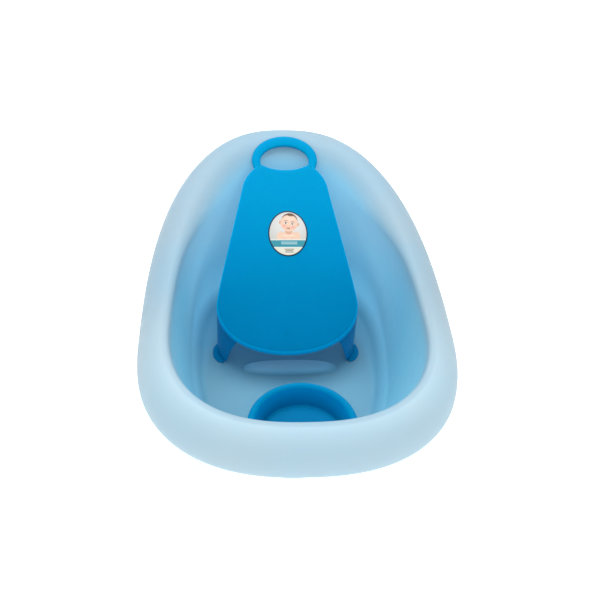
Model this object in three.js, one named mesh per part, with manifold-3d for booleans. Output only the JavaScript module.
// Baby bathtub with a lift-out bath slide and a wash bowl.
// Millimetres, +Z up. The origin is on the floor, under the middle of the tub.
// +Y points to the head end, where the slide's ring handle rests on the rim.

import * as THREE from 'three';
import { mergeVertices } from 'three/addons/utils/BufferGeometryUtils.js';
import Module from 'manifold-3d';

const wasm = await Module();
wasm.setup();

const { MathUtils, Vector2, Vector3 } = THREE;
const QUARTER_TURN = Math.PI / 2;

// ---- Driving sizes: tub ----
const TUB_WIDTH = 500;
const TUB_LENGTH = 810;
const RIM_HEIGHT = 270;              // crest of the rim over its widest line
const RIM_RISE = 0.03;               // the rim climbs this much per millimetre towards the head
const WIDEST_Y = -160;
const FOOT_SQUARENESS = 2.41;        // superellipse exponents of the outline
const HEAD_SQUARENESS = 2.47;
const TUB_WALL = 3;

const FLANGE_WIDTH_FOOT = 44;        // crest of the rim to its turned-down lip
const FLANGE_WIDTH_HEAD = 50;
const FLANGE_DROP = 59;

const CREST_RADIUS_FOOT = 12;        // rounding from the crest into the inner wall
const CREST_RADIUS_HEAD = 48;
const HEAD_BLEND_START_Y = -130;
const HEAD_BLEND_END_Y = 330;

const FLOOR_CENTRE_Y = 30;
const FLOOR_EDGE = { halfWidth: 163, head: 170, foot: 287.5, headSquareness: 2.8, footSquareness: 2.2 };
const FLOOR_RADIUS = 14;
const KNUCKLE_HEIGHT = 52;           // the steep wall eases here towards the floor
const KNUCKLE_EDGE = { halfWidth: 179, head: 215, foot: 317, headSquareness: 3, footSquareness: 2.5 };
const KNUCKLE_RADIUS = 70;

const STOP_CENTRE = new Vector2(1.7, -8);  // raised bar across the floor, in front of the slide's feet
const STOP_HALF_LENGTH = 89;
const STOP_FRONT = 22.5;
const STOP_BACK = 9.5;
const STOP_HEIGHT = 17;
const STOP_ROUNDING = 0.75;          // blunts the bar's ends
const STOP_SIZES = [1, 0.95, 0.8, 0.55, 0.25];

// ---- Driving sizes: slide ----
const SLIDE_CENTRE_X = -3;                 // the slide stands a little to the left in the tub
const PLATE_TILT = MathUtils.degToRad(31.6);
const PLATE_START = new Vector2(-38, 68);  // y and z of the plate's lower end
const PLATE_THICKNESS = 3;
const PLATE_LENGTH = 364;                  // up to the middle of the hollow top edge
const PLATE_HALF_WIDTH = 130;
const WIDEST_U = 95;                       // distance up the plate of its widest line
const LOWER_END_REACH = 90.5;
const LOWER_END_FULLNESS = 0.58;           // 0.5523 makes the lower end half an ellipse, more is squarer
const CUSP = new Vector2(49, 376);         // horns on both sides of the hollow top edge
const EDGE_RADIUS = 5;
const SKIRT_HEIGHT = 8;
const SLIDE_WALL = 3;
const LEG_TOP = [30, 150];                 // where a leg starts and ends, up the plate
const LEG_BOTTOM = [51, 112];
const FOOT_GAP = 0.3;

const FOOT_INNER_X = 118;
const FOOT_OUTER_X = 139;
const FOOT_CENTRE_Y = 31;
const FOOT_HALF_LENGTH = 28;
const FOOT_THICKNESS = 3;

const RING_CENTRE_U = 384.5;               // the hole's middle lies a little lower down the plate
const HOLE_CENTRE_U = 381.5;
const RING_OUTER = new Vector2(63, 50);
const RING_INNER = new Vector2(46.5, 31.5);
const RING_STEP = 2.5;                     // the ring's face lies this far under the plate's
const RING_THICKNESS = 7;
const RING_BEVEL = 2;

const LABEL_CENTRE = new Vector2(3.3, 232);
const LABEL_HALF = new Vector2(37, 45);
const LABEL_THICKNESS = 0.4;
const LABEL_GAP = 0.3;

// ---- Driving sizes: wash bowl ----
const BOWL_CENTRE = new Vector2(15.5, -181.3);
const BOWL_GAP = 0.3;
const BOWL_FOOT = [60, 66];                // inner and outer radius of the foot ring
const BOWL_FOOT_HEIGHT = 4;
const BOWL_CORNER = 76;                    // radius where floor and wall would meet
const BOWL_CORNER_ROUNDING = 9;
const BOWL_INNER_ROUNDING = 4;
const BOWL_WALL = 2.6;
const BOWL_LIP_CENTRE = new Vector2(89.5, 39.5);
const BOWL_LIP_RADIUS = 6.5;

// ---- Mesh fineness ----
const TUB_STATIONS = 72;
const FLANGE_STEPS = 6;
const CREST_STEPS = 4;
const KNUCKLE_STEPS = 2;
const FLOOR_FILLET_STEPS = 3;
const ROUND_STEPS = 48;

// ---- General shape helpers ----

function superellipseScale(cos, sin, squareness) {
  const sum = Math.abs(cos) ** squareness + Math.abs(sin) ** squareness;
  return sum ** (-1 / squareness);
}

function signedPower(value, power) {
  return Math.sign(value) * Math.abs(value) ** power;
}

// A polyline whose inner corners are rounded by arcs, each with steps + 1 points.
function roundedPath(corners, radii, steps) {
  const path = [corners[0].clone()];
  for (let i = 1; i < corners.length - 1; i += 1) {
    const before = corners[i - 1].clone().sub(corners[i]).normalize();
    const after = corners[i + 1].clone().sub(corners[i]).normalize();
    const halfAngle = Math.acos(MathUtils.clamp(before.dot(after), -1, 1)) / 2;
    const tangentLength = radii[i - 1] / Math.tan(halfAngle);
    const bisector = before.clone().add(after).normalize();
    const centre = corners[i].clone().addScaledVector(bisector, radii[i - 1] / Math.sin(halfAngle));
    const start = corners[i].clone().addScaledVector(before, tangentLength).sub(centre);
    const end = corners[i].clone().addScaledVector(after, tangentLength).sub(centre);
    const sweep = Math.atan2(start.cross(end), start.dot(end));
    for (let k = 0; k <= steps[i - 1]; k += 1) {
      const turned = start.clone().rotateAround(new Vector2(), (sweep * k) / steps[i - 1]);
      path.push(turned.add(centre));
    }
  }
  path.push(corners[corners.length - 1].clone());
  return path;
}

// A closed skin through rings of equal length, from one pole to the other. From the ring called
// fold on, each quad is split along its other diagonal, so both faces of a twisted wall match.
function loftBetweenPoles(startPole, rings, endPole, fold = rings.length) {
  const count = rings[0].length;
  const positions = [];
  const indices = [];
  const addPoint = (p) => positions.push(p.x, p.y, p.z);
  addPoint(startPole);
  rings.forEach((ring) => ring.forEach(addPoint));
  addPoint(endPole);
  const last = rings.length * count + 1;
  for (let i = 0; i < count; i += 1) {
    const next = (i + 1) % count;
    indices.push(0, 1 + i, 1 + next);
    for (let r = 0; r < rings.length - 1; r += 1) {
      const a = 1 + r * count + i;
      const b = 1 + r * count + next;
      if (r < fold) indices.push(a, a + count, b + count, a, b + count, b);
      else indices.push(a, a + count, b, b, a + count, b + count);
    }
    const base = 1 + (rings.length - 1) * count;
    indices.push(base + i, last, base + next);
  }
  const geometry = new THREE.BufferGeometry();
  geometry.setAttribute('position', new THREE.Float32BufferAttribute(positions, 3));
  geometry.setIndex(indices);
  return outwardFacing(geometry);
}

// Turns the faces round if they point into the body.
function outwardFacing(geometry) {
  const position = geometry.getAttribute('position');
  const index = geometry.getIndex();
  const corner = (k) => new Vector3().fromBufferAttribute(position, index.getX(k));
  let volume = 0;
  for (let k = 0; k < index.count; k += 3) {
    volume += corner(k).dot(corner(k + 1).cross(corner(k + 2)));
  }
  if (volume < 0) {
    for (let k = 0; k < index.count; k += 3) {
      const swap = index.getX(k + 1);
      index.setX(k + 1, index.getX(k + 2));
      index.setX(k + 2, swap);
    }
  }
  return geometry;
}

function toSolid(geometry) {
  const bare = geometry.clone();
  bare.deleteAttribute('normal');
  bare.deleteAttribute('uv');
  const merged = mergeVertices(bare, 1e-4);
  return new wasm.Manifold(new wasm.Mesh({
    numProp: 3,
    vertProperties: new Float32Array(merged.getAttribute('position').array),
    triVerts: new Uint32Array(merged.getIndex().array),
  }));
}

function toGeometry(solid) {
  const mesh = solid.getMesh();
  const geometry = new THREE.BufferGeometry();
  geometry.setAttribute('position', new THREE.BufferAttribute(mesh.vertProperties, 3));
  geometry.setIndex(new THREE.BufferAttribute(mesh.triVerts, 1));
  geometry.computeVertexNormals();
  return geometry;
}

// ---- Tub ----

// A point of the outer lip in plan, and the way straight out from it.
function outlinePoint(turn) {
  const cos = Math.cos(turn);
  const sin = Math.sin(turn);
  const headReach = TUB_LENGTH / 2 - WIDEST_Y;
  const footReach = TUB_LENGTH / 2 + WIDEST_Y;
  const reach = sin > 0 ? headReach : footReach;
  const headShare = MathUtils.smoothstep((sin + 1) / 2, 0, 1);
  const squareness = MathUtils.lerp(FOOT_SQUARENESS, HEAD_SQUARENESS, headShare);
  const scale = superellipseScale(cos, sin, squareness);
  const halfWidth = TUB_WIDTH / 2;
  return {
    place: new Vector2(halfWidth * scale * cos, reach * scale * sin + WIDEST_Y),
    outward: new Vector2(
      signedPower(scale * cos, squareness - 1) / halfWidth,
      signedPower(scale * sin, squareness - 1) / reach,
    ).normalize(),
  };
}

// Distance from the floor's centre to one of the inner edge lines, in a direction of the plan.
function edgeDistance(edge, angle) {
  const sin = Math.sin(angle);
  const reach = sin > 0 ? edge.head : edge.foot;
  const headShare = MathUtils.smoothstep((sin + 1) / 2, 0, 1);
  const squareness = MathUtils.lerp(edge.footSquareness, edge.headSquareness, headShare);
  return superellipseScale(Math.cos(angle) / edge.halfWidth, sin / reach, squareness);
}

// One upright section of the tub: x runs inwards from the rim's crest, y is the height.
function tubSection(turn) {
  const { place, outward } = outlinePoint(turn);
  const headShare = MathUtils.smoothstep(place.y, HEAD_BLEND_START_Y, HEAD_BLEND_END_Y);
  const flangeWidth = MathUtils.lerp(FLANGE_WIDTH_FOOT, FLANGE_WIDTH_HEAD, headShare);
  const crestRadius = MathUtils.lerp(CREST_RADIUS_FOOT, CREST_RADIUS_HEAD, headShare ** 1.6);
  const crest = place.clone().addScaledVector(outward, -flangeWidth);
  const fromCentre = crest.clone().sub(new Vector2(0, FLOOR_CENTRE_Y));
  const angle = fromCentre.angle();
  const inward = fromCentre.clone().normalize().negate();
  const floorX = fromCentre.length() - edgeDistance(FLOOR_EDGE, angle);
  const knuckleX = fromCentre.length() - edgeDistance(KNUCKLE_EDGE, angle);
  const floorCorner = new Vector2(floorX, TUB_WALL);
  const knuckle = new Vector2(knuckleX, TUB_WALL + KNUCKLE_HEIGHT);

  // The crest's rounding starts at x = 0, so its corner depends on the wall's slope.
  const crestCorner = new Vector2(crestRadius, RIM_HEIGHT);
  for (let pass = 0; pass < 12; pass += 1) {
    const wallAngle = Math.atan2(RIM_HEIGHT - knuckle.y, knuckle.x - crestCorner.x);
    crestCorner.x = crestRadius * Math.tan(wallAngle / 2);
  }
  const floorInside = new Vector2(floorX + 3 * FLOOR_RADIUS, TUB_WALL);
  const wall = roundedPath(
    [new Vector2(0, RIM_HEIGHT), crestCorner, knuckle, floorCorner, floorInside],
    [crestRadius, KNUCKLE_RADIUS, FLOOR_RADIUS],
    [CREST_STEPS, KNUCKLE_STEPS, FLOOR_FILLET_STEPS],
  );
  wall.shift();
  wall.pop();

  const flange = [];
  for (let k = 0; k < FLANGE_STEPS; k += 1) {
    const q = QUARTER_TURN * (1 - k / FLANGE_STEPS);
    const drop = FLANGE_DROP * (1 - Math.cos(q));
    flange.push(new Vector2(-flangeWidth * Math.sin(q), RIM_HEIGHT - drop));
  }
  return { crest, outward, inward, upper: [...flange, ...wall] };
}

// The same section on the tub's other face, one wall thickness away.
function lowerFace(upper) {
  return upper.map((point, i) => {
    const before = upper[Math.max(i - 1, 0)];
    const after = upper[Math.min(i + 1, upper.length - 1)];
    const along = after.clone().sub(before).normalize();
    if (i === 0) along.set(0, 1);
    if (i === upper.length - 1) along.set(1, 0);
    return point.clone().add(new Vector2(along.y, -along.x).multiplyScalar(TUB_WALL));
  });
}

function sectionToSpace(section, point) {
  const direction = point.x < 0 ? section.outward.clone().negate() : section.inward;
  const place = section.crest.clone().addScaledVector(direction, point.x);
  const heightShare = point.y / RIM_HEIGHT;
  return new Vector3(place.x, place.y, point.y + heightShare * RIM_RISE * (place.y - WIDEST_Y));
}

// A level line of the raised bar, as wide as size says. inset moves it in by that distance.
function stopRing(angles, size, inset) {
  const height = STOP_HEIGHT * (1 - size ** 2.4) ** 0.6;
  return angles.map((angle) => {
    const sin = Math.sin(angle);
    const reach = (sin < 0 ? STOP_FRONT : STOP_BACK) - inset;
    return new Vector3(
      STOP_CENTRE.x + size * (STOP_HALF_LENGTH - 2 * inset) * signedPower(Math.cos(angle), STOP_ROUNDING),
      STOP_CENTRE.y + size * reach * signedPower(sin, STOP_ROUNDING),
      height,
    );
  });
}

// The floor from its edge ring to the top of the raised bar, as rings and an end point.
function floorRings(edge, z, inset) {
  const angles = edge.map((p) => Math.atan2(p.y - STOP_CENTRE.y, p.x - STOP_CENTRE.x));
  const bar = STOP_SIZES.map((size) => stopRing(angles, size, inset));
  bar.forEach((ring) => ring.forEach((p) => p.setZ(p.z + z)));
  const between = edge.map((p, i) => p.clone().lerp(bar[0][i], 0.5));
  const top = new Vector3(STOP_CENTRE.x, STOP_CENTRE.y, z + STOP_HEIGHT);
  return { rings: [between, ...bar], top };
}

function tubGeometry() {
  const sections = [];
  for (let i = 0; i < TUB_STATIONS; i += 1) {
    const section = tubSection((2 * Math.PI * i) / TUB_STATIONS);
    section.lower = lowerFace(section.upper);
    sections.push(section);
  }
  const count = sections[0].upper.length;
  const ringAt = (face, i) => sections.map((section) => sectionToSpace(section, section[face][i]));
  const upper = Array.from({ length: count }, (_, i) => ringAt('upper', i));
  const lower = Array.from({ length: count }, (_, i) => ringAt('lower', i));
  upper[count - 1].forEach((p) => p.setZ(TUB_WALL));
  lower[count - 1].forEach((p) => p.setZ(0));
  const inside = floorRings(upper[count - 1], TUB_WALL, 0);
  const underneath = floorRings(lower[count - 1], 0, TUB_WALL);
  const rings = [
    ...inside.rings.reverse(),
    ...upper.reverse(),
    ...lower,
    ...underneath.rings,
  ];
  const lip = rings.length - underneath.rings.length - lower.length;
  return loftBetweenPoles(inside.top, rings, underneath.top, lip);
}

// ---- Slide ----

// The plate's edge, x across and y up the plate, from the lower end round to it again.
function plateOutline() {
  const right = new THREE.CurvePath();
  const bezier = (...xy) => {
    const points = [];
    for (let i = 0; i < xy.length; i += 2) points.push(new Vector2(xy[i], xy[i + 1]));
    right.add(new THREE.CubicBezierCurve(...points));
  };
  const lowest = WIDEST_U - LOWER_END_REACH;
  bezier(
    0, lowest,
    PLATE_HALF_WIDTH * LOWER_END_FULLNESS, lowest,
    PLATE_HALF_WIDTH, WIDEST_U - LOWER_END_REACH * LOWER_END_FULLNESS,
    PLATE_HALF_WIDTH, WIDEST_U,
  );
  bezier(PLATE_HALF_WIDTH, WIDEST_U, PLATE_HALF_WIDTH, 119, 98, 249, 81.2, 330);
  bezier(81.2, 330, 77.2, 348, 66, 361, 53.5, 371.5);
  bezier(53.5, 371.5, 50, 374.7, 47, 376.5, 43.5, 374.3);
  bezier(43.5, 374.3, 30, 367, 16, PLATE_LENGTH, 0, PLATE_LENGTH);
  const steps = [28, 8, 5, 3, 6];
  const half = [];
  right.curves.forEach((curve, c) => {
    for (let k = 0; k < steps[c]; k += 1) half.push(curve.getPoint(k / steps[c]));
  });
  half.push(new Vector2(0, PLATE_LENGTH));
  const left = half.slice(1, -1).reverse().map((p) => new Vector2(-p.x, p.y));
  return [...half, ...left];
}

// The outline moved in by distance, or by less next to a horn, which has no room for it.
function insetOutline(outline, distance) {
  const count = outline.length;
  return outline.map((point, i) => {
    const fromHorn = new Vector2(Math.abs(point.x), point.y).distanceTo(CUSP);
    const step = Math.min(distance, 1.5 + 0.35 * fromHorn);
    const before = outline[(i + count - 1) % count];
    const after = outline[(i + 1) % count];
    const along = after.clone().sub(before).normalize();
    return point.clone().add(new Vector2(-along.y, along.x).multiplyScalar(step));
  });
}

function plateToSpace(point, drop = 0) {
  const y = PLATE_START.x + point.y * Math.cos(PLATE_TILT);
  const z = PLATE_START.y + point.y * Math.sin(PLATE_TILT) - drop;
  return new Vector3(point.x, y, z);
}

// Depth of the side wall under the plate's edge: a short skirt, and legs down to the tub's floor.
function wallDrop(point) {
  const toFloor = plateToSpace(point).z - TUB_WALL - FOOT_GAP;
  const front = (point.y - LEG_TOP[0]) / (LEG_BOTTOM[0] - LEG_TOP[0]);
  const back = (LEG_TOP[1] - point.y) / (LEG_TOP[1] - LEG_BOTTOM[1]);
  const share = MathUtils.clamp(Math.min(front, back), 0, 1);
  return MathUtils.lerp(SKIRT_HEIGHT, toFloor, share);
}

function plateAndLegs() {
  const outline = plateOutline();
  const innerOutline = insetOutline(outline, SLIDE_WALL);
  const ringAt = (inset, drop) => insetOutline(outline, inset).map((p) => plateToSpace(p, drop));
  const middle = new Vector2(0, 200);
  const rings = [];
  for (let k = 0; k <= 3; k += 1) {
    const angle = (QUARTER_TURN * k) / 3;
    rings.push(ringAt(EDGE_RADIUS * (1 - Math.sin(angle)), EDGE_RADIUS * (1 - Math.cos(angle))));
  }
  rings.push(outline.map((p) => plateToSpace(p, wallDrop(p))));
  rings.push(innerOutline.map((p, i) => plateToSpace(p, wallDrop(outline[i]))
    .setZ(plateToSpace(outline[i], wallDrop(outline[i])).z)));
  rings.push(innerOutline.map((p) => plateToSpace(p, EDGE_RADIUS)));
  rings.push(ringAt(EDGE_RADIUS + 1, PLATE_THICKNESS + 1));
  const underside = plateToSpace(middle, PLATE_THICKNESS + 1);
  return loftBetweenPoles(plateToSpace(middle), rings, underside);
}

function ellipseShape(centre, half) {
  const shape = new THREE.Shape();
  shape.absellipse(centre.x, centre.y, half.x, half.y, 0, 2 * Math.PI);
  return shape;
}

// Moves a shape extruded in the plate's own plane onto the plate, under its face by depth.
function layOnPlate(geometry, depth) {
  geometry.translate(0, 0, -depth);
  geometry.rotateX(PLATE_TILT);
  geometry.translate(0, PLATE_START.x, PLATE_START.y);
  return geometry;
}

function ringHandle() {
  const shape = ellipseShape(new Vector2(0, RING_CENTRE_U), RING_OUTER);
  shape.holes.push(ellipseShape(new Vector2(0, HOLE_CENTRE_U), RING_INNER));
  const geometry = new THREE.ExtrudeGeometry(shape, {
    depth: RING_THICKNESS - 2 * RING_BEVEL,
    curveSegments: ROUND_STEPS / 2,
    bevelThickness: RING_BEVEL,
    bevelSize: RING_BEVEL,
    bevelOffset: -RING_BEVEL,
    bevelSegments: 2,
  });
  return layOnPlate(geometry, RING_STEP + RING_THICKNESS - RING_BEVEL);
}

// A flat D-shaped foot that stands out from the bottom of a leg.
function footFlange(side) {
  const shape = new THREE.Shape();
  const reach = FOOT_OUTER_X - FOOT_INNER_X;
  const start = side > 0 ? -QUARTER_TURN : QUARTER_TURN;
  shape.absellipse(side * FOOT_INNER_X, FOOT_CENTRE_Y, reach, FOOT_HALF_LENGTH, start, start + Math.PI);
  const geometry = new THREE.ExtrudeGeometry(shape, {
    depth: FOOT_THICKNESS,
    curveSegments: ROUND_STEPS / 4,
    bevelEnabled: false,
  });
  geometry.translate(0, 0, TUB_WALL + FOOT_GAP);
  return geometry;
}

function slideGeometry() {
  const body = toSolid(plateAndLegs());
  const ring = toSolid(ringHandle());
  const feet = [-1, 1].map((side) => toSolid(footFlange(side)));
  return toGeometry(body.add(ring).add(feet[0]).add(feet[1]));
}

function labelGeometry() {
  const shape = ellipseShape(LABEL_CENTRE, LABEL_HALF);
  const geometry = new THREE.ExtrudeGeometry(shape, {
    depth: LABEL_THICKNESS,
    curveSegments: ROUND_STEPS / 2,
    bevelEnabled: false,
  });
  return layOnPlate(geometry, -LABEL_GAP);
}

// ---- Wash bowl ----

// x is the distance from the bowl's axis and y the height over its base.
function bowlProfile() {
  const lip = BOWL_LIP_CENTRE;
  const wallTop = new Vector2(lip.x - BOWL_LIP_RADIUS, lip.y - 2);
  const footRing = [
    new Vector2(0, BOWL_FOOT_HEIGHT),
    new Vector2(BOWL_FOOT[0], BOWL_FOOT_HEIGHT),
    new Vector2(BOWL_FOOT[0] + 1, 0),
    new Vector2(BOWL_FOOT[1], 0),
  ];
  const footTop = new Vector2(BOWL_FOOT[1] + 1, BOWL_FOOT_HEIGHT);
  const outerCorner = new Vector2(BOWL_CORNER, BOWL_FOOT_HEIGHT);
  const outside = roundedPath(
    [footTop, outerCorner, new Vector2(wallTop.x + BOWL_WALL, lip.y)],
    [BOWL_CORNER_ROUNDING],
    [4],
  );
  const floorTop = BOWL_FOOT_HEIGHT + BOWL_WALL;
  const innerCorner = new Vector2(BOWL_CORNER - BOWL_WALL, floorTop);
  const inside = roundedPath(
    [wallTop, innerCorner, new Vector2(0, floorTop)],
    [BOWL_INNER_ROUNDING],
    [4],
  );
  const rolled = [];
  for (let k = 0; k <= 8; k += 1) {
    const angle = MathUtils.degToRad(-20 + 25 * k);
    rolled.push(new Vector2(
      lip.x + BOWL_LIP_RADIUS * Math.cos(angle),
      lip.y + BOWL_LIP_RADIUS * Math.sin(angle),
    ));
  }
  const underLip = new Vector2(wallTop.x + BOWL_WALL + 0.5, lip.y - 4);
  outside.pop();
  inside.shift();
  return [...footRing, ...outside, underLip, ...rolled, ...inside];
}

function bowlGeometry() {
  const geometry = new THREE.LatheGeometry(bowlProfile(), ROUND_STEPS);
  geometry.rotateX(QUARTER_TURN);
  geometry.translate(BOWL_CENTRE.x, BOWL_CENTRE.y, TUB_WALL + BOWL_GAP);
  return toGeometry(toSolid(geometry));
}

// ---- Assembly ----

function plastic(color, roughness) {
  return new THREE.MeshStandardMaterial({ color, roughness, metalness: 0 });
}

function namedMesh(name, geometry, material) {
  const mesh = new THREE.Mesh(geometry, material);
  mesh.name = name;
  return mesh;
}

const frostedBlue = plastic(0x9fcbe2, 0.45);
const brightBlue = plastic(0x0090d0, 0.35);
const paper = plastic(0xe9e4d6, 0.6);

const slideGroup = new THREE.Group();
slideGroup.position.x = SLIDE_CENTRE_X;
slideGroup.add(namedMesh('bath_slide', slideGeometry(), brightBlue));
slideGroup.add(namedMesh('product_label', labelGeometry(), paper));

const bathtub = new THREE.Group();
bathtub.add(namedMesh('tub_shell', tubGeometry(), frostedBlue));
bathtub.add(slideGroup);
bathtub.add(namedMesh('wash_bowl', bowlGeometry(), brightBlue));

export default bathtub;
